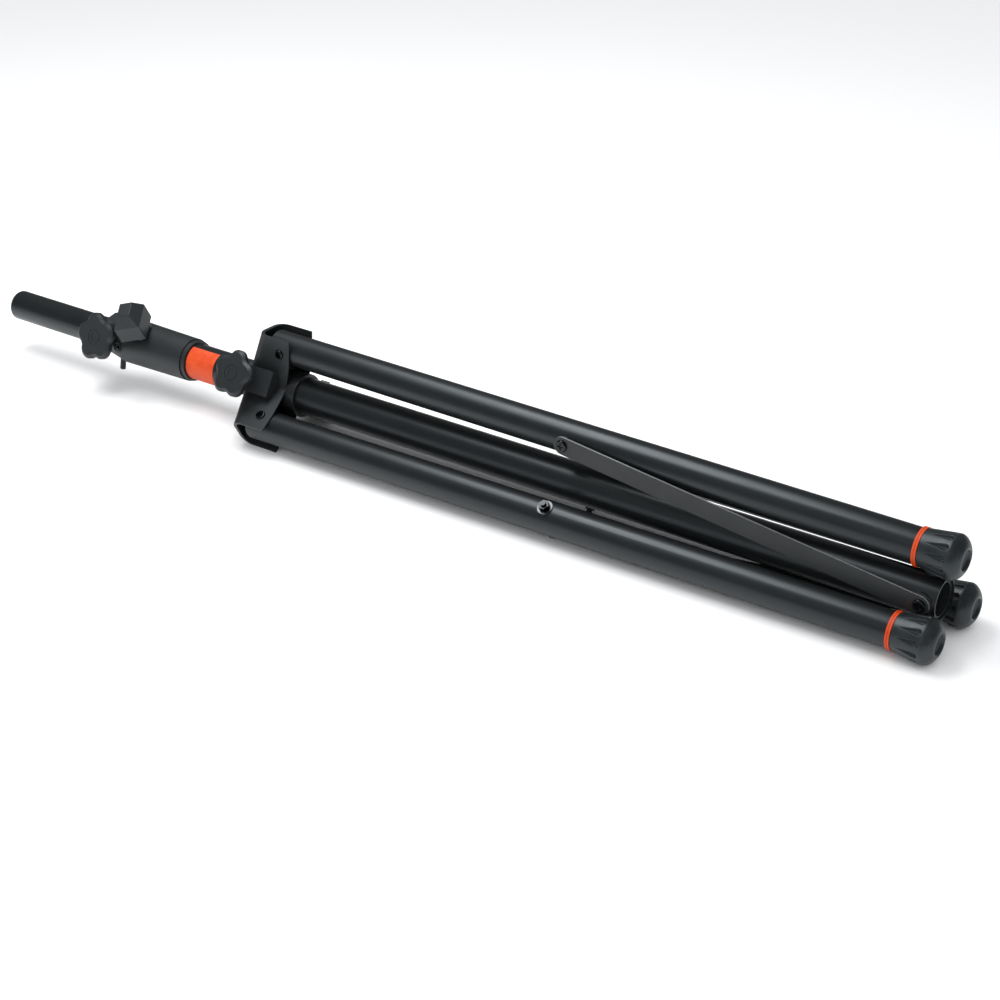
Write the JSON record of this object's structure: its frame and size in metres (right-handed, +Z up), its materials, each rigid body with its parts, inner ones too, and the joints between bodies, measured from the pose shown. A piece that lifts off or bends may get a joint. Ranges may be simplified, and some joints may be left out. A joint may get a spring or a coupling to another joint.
{
  "type": "speaker tripod stand",
  "caption": "Folded tripod stand for a PA loudspeaker: telescopic pole, clamp collar with pull pin, sliding hub, folding tube legs with flat braces and rubber feet.",
  "frame": {"origin": "Middle of the bounding box on the plane that the folded stand lies on; the mast axis runs 51.1 mm above it.", "axes": "+X runs along the mast towards the feet, +Z is up through leg 1 of the lying stand, and -Y is the side of the two star knobs."},
  "size_m": [1.2303, 0.138, 0.1196],
  "materials": {
    "tube_black": "satin black powder coat",
    "brace_black": "satin dark grey coated steel",
    "plastic_black": "finely textured black nylon",
    "bush_plastic": "smooth black acetal",
    "accent_orange": "plain orange film and ring plastic",
    "rubber_black": "satin moulded rubber",
    "screw_black": "glossy black zinc",
    "brass": "turned brass",
    "zinc": "bright zinc plate"
  },
  "bodies": {
    "mast": {"mast_tube": "tube_black", "mast_label": "accent_orange", "mast_end_plug": "bush_plastic", "lower_pad_1": "plastic_black", "lower_pad_2": "plastic_black", "lower_pad_3": "plastic_black", "collar": "plastic_black", "collar_ring": "plastic_black", "collar_bush": "bush_plastic", "clamp_insert": "brass", "collar_screws": "screw_black", "collar_post": "plastic_black"},
    "pole": {"pole_tube": "tube_black", "pole_cap": "plastic_black", "pole_guide": "bush_plastic"},
    "clamp_knob_body": {"clamp_knob": "plastic_black", "clamp_stud": "zinc"},
    "pull_pin": {"lock_handle": "plastic_black", "lock_pin": "zinc"},
    "hub": {"hub_bracket": "plastic_black", "hub_sleeve": "bush_plastic", "hub_insert": "brass", "hub_pins": "zinc", "hub_screws": "screw_black"},
    "hub_knob_body": {"hub_knob": "plastic_black", "hub_stud": "zinc"},
    "leg_1": {"leg_1_tube": "tube_black", "leg_1_plug": "plastic_black", "leg_1_ring": "accent_orange", "leg_1_foot": "rubber_black", "leg_1_spacer": "plastic_black", "leg_1_washer": "zinc", "leg_1_nut": "screw_black", "leg_1_bolt": "screw_black"},
    "brace_1": {"brace_1_bar": "brace_black", "brace_1_screw": "screw_black"},
    "leg_2": {"leg_2_tube": "tube_black", "leg_2_plug": "plastic_black", "leg_2_ring": "accent_orange", "leg_2_foot": "rubber_black", "leg_2_spacer": "plastic_black", "leg_2_washer": "zinc", "leg_2_nut": "screw_black", "leg_2_bolt": "screw_black"},
    "brace_2": {"brace_2_bar": "brace_black", "brace_2_screw": "screw_black"},
    "leg_3": {"leg_3_tube": "tube_black", "leg_3_plug": "plastic_black", "leg_3_ring": "accent_orange", "leg_3_foot": "rubber_black", "leg_3_spacer": "plastic_black", "leg_3_washer": "zinc", "leg_3_nut": "screw_black", "leg_3_bolt": "screw_black"},
    "brace_3": {"brace_3_bar": "brace_black", "brace_3_screw": "screw_black"}
  },
  "joints": [
    {"name": "pole_slide", "type": "slide", "parent": "mast", "child": "pole", "axis": [-1, 0, 0], "range_m": [0, 0.7]},
    {"name": "clamp_knob_turn", "type": "hinge", "parent": "mast", "child": "clamp_knob_body", "pos_m": [-0.43675, -0.02824, 0.06116], "axis": [0, -0.9415, 0.3371], "range_deg": [0, 720]},
    {"name": "lock_pin_pull", "type": "slide", "parent": "mast", "child": "pull_pin", "axis": [0, -0.4787, 0.878], "range_m": [0, 0.008], "stiffness_N_per_m": 500, "springref_m": -0.006},
    {"name": "hub_slide", "type": "slide", "parent": "mast", "child": "hub", "axis": [1, 0, 0], "range_m": [0, 0.21447]},
    {"name": "hub_knob_turn", "type": "hinge", "parent": "hub", "child": "hub_knob_body", "pos_m": [-0.21495, -0.03897, 0.07355], "axis": [0, -0.866, 0.5], "range_deg": [0, 720]},
    {"name": "leg_1_spread", "type": "hinge", "parent": "hub", "child": "leg_1", "pos_m": [-0.17585, 0, 0.10195], "axis": [0, -1, 0], "range_deg": [0, 40.47]},
    {"name": "brace_1_swing", "type": "hinge", "parent": "leg_1", "child": "brace_1", "pos_m": [0.19764, 0, 0.09921], "axis": [0, 1, 0], "range_deg": [0, 81.56]},
    {"name": "leg_2_spread", "type": "hinge", "parent": "hub", "child": "leg_2", "pos_m": [-0.17585, -0.04408, 0.0256], "axis": [0, 0.5, -0.866], "range_deg": [0, 40.47]},
    {"name": "brace_2_swing", "type": "hinge", "parent": "leg_2", "child": "brace_2", "pos_m": [0.19764, -0.04171, 0.02697], "axis": [0, -0.5, 0.866], "range_deg": [0, 81.56]},
    {"name": "leg_3_spread", "type": "hinge", "parent": "hub", "child": "leg_3", "pos_m": [-0.17585, 0.04408, 0.0256], "axis": [0, 0.5, 0.866], "range_deg": [0, 40.47]},
    {"name": "brace_3_swing", "type": "hinge", "parent": "leg_3", "child": "brace_3", "pos_m": [0.19764, 0.04171, 0.02697], "axis": [0, -0.5, -0.866], "range_deg": [0, 81.56]}
  ],
  "couplings": [
    {"joint": "leg_1_spread", "follows": "hub_slide", "rad_per_m": 3.2893},
    {"joint": "brace_1_swing", "follows": "hub_slide", "rad_per_m": 6.633},
    {"joint": "leg_2_spread", "follows": "hub_slide", "rad_per_m": 3.2893},
    {"joint": "brace_2_swing", "follows": "hub_slide", "rad_per_m": 6.633},
    {"joint": "leg_3_spread", "follows": "hub_slide", "rad_per_m": 3.2893},
    {"joint": "brace_3_swing", "follows": "hub_slide", "rad_per_m": 6.633}
  ]
}
